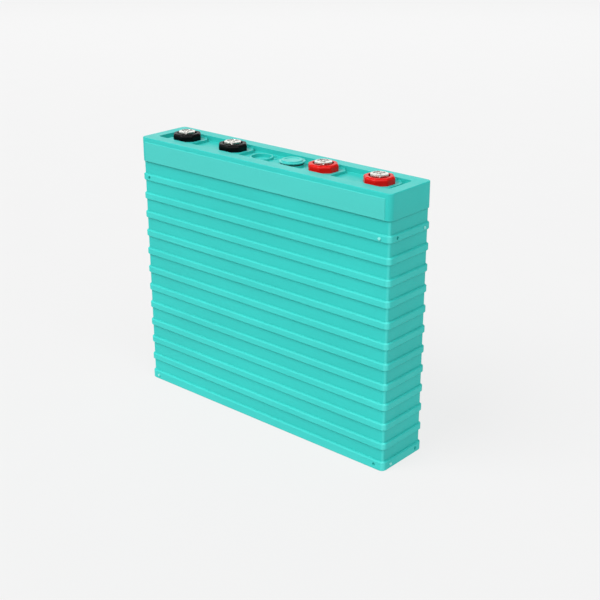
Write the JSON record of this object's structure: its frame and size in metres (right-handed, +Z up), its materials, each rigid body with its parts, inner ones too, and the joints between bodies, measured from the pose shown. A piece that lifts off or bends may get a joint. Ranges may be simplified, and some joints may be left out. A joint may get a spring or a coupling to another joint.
{
  "type": "prismatic battery cell",
  "caption": "Prismatic lithium cell in a ribbed plastic case with screw terminals on top, for battery packs that store solar or wind power.",
  "frame": {"origin": "middle of the case's flat underside", "axes": "+X along the length towards the positive terminals, +Y from the front face to the back face, +Z up towards the terminals"},
  "size_m": [0.2576, 0.0516, 0.2214],
  "materials": {
    "case_plastic": "moulded turquoise plastic, fine satin grain",
    "lid_plastic": "moulded turquoise plastic, smooth rim and finely grained panels",
    "cap_plastic": "moulded turquoise plastic, satin",
    "red_nut": "glossy red moulded plastic",
    "black_nut": "semi-gloss black moulded plastic",
    "post_aluminium": "turned aluminium",
    "post_plated_copper": "copper with bright nickel plating",
    "bright_steel": "bright stainless steel",
    "seal_rubber": "black moulded rubber",
    "inner_plastic": "natural white moulded plastic",
    "wrap_film": "blue insulating film",
    "cathode_coating": "black coated foil, matt",
    "anode_coating": "dark grey graphite coated foil, matt",
    "separator_film": "white microporous film",
    "copper": "bare rolled copper",
    "aluminium": "bare rolled aluminium"
  },
  "bodies": {
    "case": {"anode_plates": "anode_coating", "bottom_tray": "inner_plastic", "case_shell": "case_plastic", "cathode_plates": "cathode_coating", "end_spacer_negative": "inner_plastic", "end_spacer_positive": "inner_plastic", "fill_plug": "lid_plastic", "fill_seal": "seal_rubber", "lid": "lid_plastic", "negative_clamp": "copper", "negative_collector": "copper", "negative_nut_inner": "black_nut", "negative_nut_outer": "black_nut", "negative_post_inner": "post_plated_copper", "negative_post_outer": "post_plated_copper", "negative_rivets": "copper", "negative_seal_inner": "seal_rubber", "negative_seal_outer": "seal_rubber", "negative_tab_foils": "copper", "polarity_divider": "inner_plastic", "positive_clamp": "aluminium", "positive_collector": "aluminium", "positive_nut_inner": "red_nut", "positive_nut_outer": "red_nut", "positive_post_inner": "post_aluminium", "positive_post_outer": "post_aluminium", "positive_rivets": "aluminium", "positive_seal_inner": "seal_rubber", "positive_seal_outer": "seal_rubber", "positive_tab_foils": "aluminium", "separators": "separator_film", "stack_wrap": "wrap_film", "top_spacer": "inner_plastic"},
    "negative_washers_outer": {"negative_washer_outer": "bright_steel", "negative_spring_washer_outer": "bright_steel"},
    "negative_screw_outer": {"negative_screw_outer": "bright_steel"},
    "negative_washers_inner": {"negative_washer_inner": "bright_steel", "negative_spring_washer_inner": "bright_steel"},
    "negative_screw_inner": {"negative_screw_inner": "bright_steel"},
    "positive_washers_inner": {"positive_washer_inner": "bright_steel", "positive_spring_washer_inner": "bright_steel"},
    "positive_screw_inner": {"positive_screw_inner": "bright_steel"},
    "positive_washers_outer": {"positive_washer_outer": "bright_steel", "positive_spring_washer_outer": "bright_steel"},
    "positive_screw_outer": {"positive_screw_outer": "bright_steel"},
    "vent_gasket": {"vent_gasket": "seal_rubber"},
    "vent_cap": {"vent_cap": "cap_plastic", "vent_seat": "inner_plastic", "valve_spring": "bright_steel"},
    "relief_valve": {"valve_pad": "seal_rubber", "valve_disc": "bright_steel"}
  },
  "joints": [
    {"name": "negative_screw_outer_lift", "type": "slide", "parent": "case", "child": "negative_washers_outer", "axis": [0, 0, 1], "range_m": [0, 0.0084]},
    {"name": "negative_screw_outer_turn", "type": "hinge", "parent": "negative_washers_outer", "child": "negative_screw_outer", "pos_m": [-0.0985, 0, 0.2172], "axis": [0, 0, 1], "range_deg": [0, 2425.2]},
    {"name": "negative_screw_inner_lift", "type": "slide", "parent": "case", "child": "negative_washers_inner", "axis": [0, 0, 1], "range_m": [0, 0.0084]},
    {"name": "negative_screw_inner_turn", "type": "hinge", "parent": "negative_washers_inner", "child": "negative_screw_inner", "pos_m": [-0.0466, 0, 0.2172], "axis": [0, 0, 1], "range_deg": [0, 2425.2]},
    {"name": "positive_screw_inner_lift", "type": "slide", "parent": "case", "child": "positive_washers_inner", "axis": [0, 0, 1], "range_m": [0, 0.0084]},
    {"name": "positive_screw_inner_turn", "type": "hinge", "parent": "positive_washers_inner", "child": "positive_screw_inner", "pos_m": [0.0466, 0, 0.2172], "axis": [0, 0, 1], "range_deg": [0, 2425.2]},
    {"name": "positive_screw_outer_lift", "type": "slide", "parent": "case", "child": "positive_washers_outer", "axis": [0, 0, 1], "range_m": [0, 0.0084]},
    {"name": "positive_screw_outer_turn", "type": "hinge", "parent": "positive_washers_outer", "child": "positive_screw_outer", "pos_m": [0.0985, 0, 0.2172], "axis": [0, 0, 1], "range_deg": [0, 2425.2]},
    {"name": "vent_gasket_lift", "type": "slide", "parent": "case", "child": "vent_gasket", "axis": [0, 0, 1], "range_m": [0, 0.0074]},
    {"name": "vent_cap_turn", "type": "hinge", "parent": "vent_gasket", "child": "vent_cap", "pos_m": [0.0158, 0, 0.2147], "axis": [0, 0, 1], "range_deg": [0, 1782]},
    {"name": "relief_valve_lift", "type": "slide", "parent": "vent_cap", "child": "relief_valve", "axis": [0, 0, 1], "range_m": [0, 0.0015], "stiffness_N_per_m": 1000, "springref_m": -0.002, "deforming": ["valve_spring"]}
  ],
  "couplings": [
    {"joint": "negative_screw_outer_turn", "follows": "negative_screw_outer_lift", "rad_per_m": 5026.5},
    {"joint": "negative_screw_inner_turn", "follows": "negative_screw_inner_lift", "rad_per_m": 5026.5},
    {"joint": "positive_screw_inner_turn", "follows": "positive_screw_inner_lift", "rad_per_m": 5026.5},
    {"joint": "positive_screw_outer_turn", "follows": "positive_screw_outer_lift", "rad_per_m": 5026.5},
    {"joint": "vent_cap_turn", "follows": "vent_gasket_lift", "rad_per_m": 4188.8}
  ]
}
